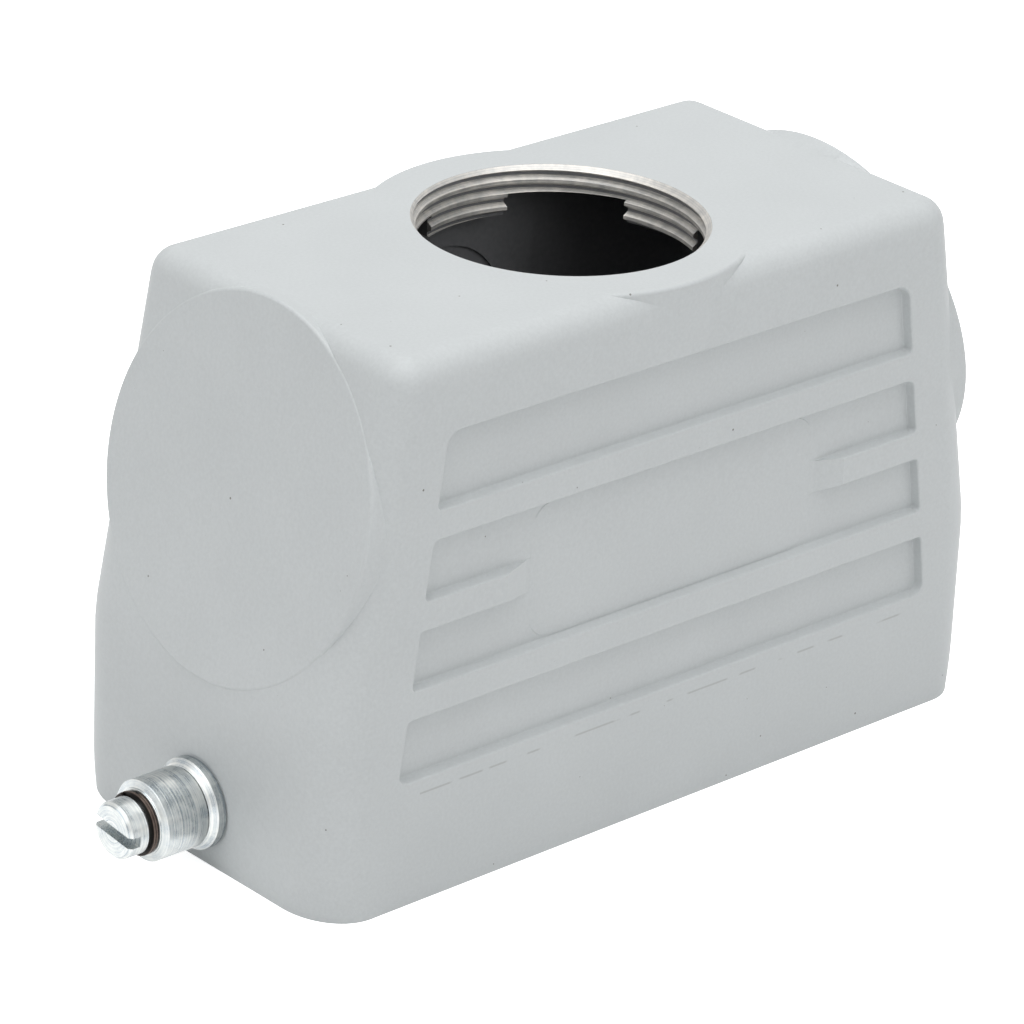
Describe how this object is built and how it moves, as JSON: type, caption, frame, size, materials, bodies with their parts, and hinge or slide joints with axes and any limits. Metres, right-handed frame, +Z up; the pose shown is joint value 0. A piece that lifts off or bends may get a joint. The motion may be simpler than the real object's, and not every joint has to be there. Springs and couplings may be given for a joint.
{
  "type": "rectangular connector hood",
  "caption": "Die cast hood of a heavy duty rectangular connector: ribbed sides, threaded cable entry on top and a roller locking peg on each end.",
  "frame": {"origin": "middle of the open rim, at the bottom centre of the hood", "axes": "+X along the hood's length towards the right peg, +Y across it towards the back, +Z up towards the cable entry"},
  "size_m": [0.1158, 0.0424, 0.0607],
  "materials": {
    "hood_paint": "light grey fine powder coat on die cast aluminium",
    "bare_metal": "machined aluminium of the entry thread",
    "peg_steel": "turned and zinc plated steel",
    "ring_steel": "dark browned spring steel"
  },
  "bodies": {
    "housing": {"hood": "hood_paint", "left_locking_stud": "peg_steel", "left_retaining_ring": "ring_steel", "right_locking_stud": "peg_steel", "right_retaining_ring": "ring_steel"},
    "left_roller_sleeve": {"left_roller": "peg_steel"},
    "right_roller_sleeve": {"right_roller": "peg_steel"}
  },
  "joints": [
    {"name": "left_roller_spin", "type": "hinge", "parent": "housing", "child": "left_roller_sleeve", "pos_m": [-0.0514, 0, 0.0066], "axis": [1, 0, 0], "continuous": true},
    {"name": "right_roller_spin", "type": "hinge", "parent": "housing", "child": "right_roller_sleeve", "pos_m": [0.0514, 0, 0.0066], "axis": [1, 0, 0], "continuous": true}
  ]
}
